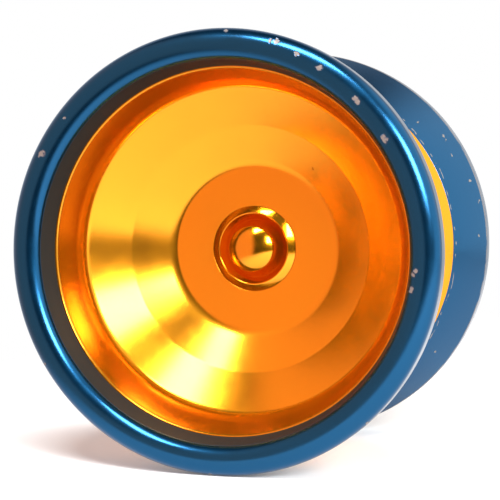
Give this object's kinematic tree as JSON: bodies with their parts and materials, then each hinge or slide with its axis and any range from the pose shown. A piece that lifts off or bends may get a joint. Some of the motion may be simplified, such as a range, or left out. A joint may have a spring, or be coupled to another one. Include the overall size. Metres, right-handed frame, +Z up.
{
  "type": "yo-yo",
  "caption": "Bearing yo-yo with flared metal cups, heavy outer rings and a screwed axle that carries a ball bearing in the string gap.",
  "frame": {"origin": "centre of the ball bearing, on the spin axis in the middle of the string gap", "axes": "+Y along the spin axis towards the back half, the front half faces -Y, +Z up as it stands on its rims"},
  "size_m": [0.056, 0.0444, 0.056],
  "materials": {
    "gold_satin": "bead-blasted gold anodised",
    "gold_polished": "polished gold anodised",
    "blue_anodised": "semi-gloss blue anodised, worn at the edges",
    "silicone": "matt silicone",
    "bearing_steel": "ground steel",
    "shield_steel": "pressed steel",
    "cage_bronze": "satin",
    "screw_steel": "black oxide"
  },
  "bodies": {
    "back_half": {"back_body": "gold_satin", "back_weight_ring": "blue_anodised", "back_hub": "gold_polished", "back_response_pad": "silicone", "axle": "screw_steel"},
    "front_half": {"front_body": "gold_satin", "front_weight_ring": "blue_anodised", "front_hub": "gold_polished", "front_response_pad": "silicone"},
    "bearing_inner": {"bearing_inner_race": "bearing_steel"},
    "bearing_outer": {"bearing_outer_race": "bearing_steel", "bearing_front_shield": "shield_steel", "bearing_back_shield": "shield_steel", "bearing_front_snap_ring": "shield_steel", "bearing_back_snap_ring": "shield_steel"},
    "bearing_cage": {"bearing_cage": "cage_bronze", "bearing_ball_01": "bearing_steel", "bearing_ball_02": "bearing_steel", "bearing_ball_03": "bearing_steel", "bearing_ball_04": "bearing_steel", "bearing_ball_05": "bearing_steel", "bearing_ball_06": "bearing_steel", "bearing_ball_07": "bearing_steel", "bearing_ball_08": "bearing_steel", "bearing_ball_09": "bearing_steel", "bearing_ball_10": "bearing_steel"}
  },
  "joints": [
    {"name": "bearing_slide", "type": "slide", "parent": "back_half", "child": "bearing_inner", "axis": [0, -1, 0], "range_m": [0, 0.00586]},
    {"name": "front_half_unscrew", "type": "hinge", "parent": "bearing_inner", "child": "front_half", "pos_m": [0, 0, 0], "axis": [0, -1, 0], "range_deg": [0, 3009]},
    {"name": "bearing_spin", "type": "hinge", "parent": "bearing_inner", "child": "bearing_outer", "pos_m": [0, 0, 0], "axis": [0, 1, 0], "continuous": true},
    {"name": "cage_orbit", "type": "hinge", "parent": "bearing_inner", "child": "bearing_cage", "pos_m": [0, 0, 0], "axis": [0, 1, 0], "continuous": true}
  ],
  "couplings": [
    {"joint": "bearing_slide", "follows": "front_half_unscrew", "m_per_rad": 0.00011141},
    {"joint": "cage_orbit", "follows": "bearing_spin", "ratio": 0.58333}
  ]
}
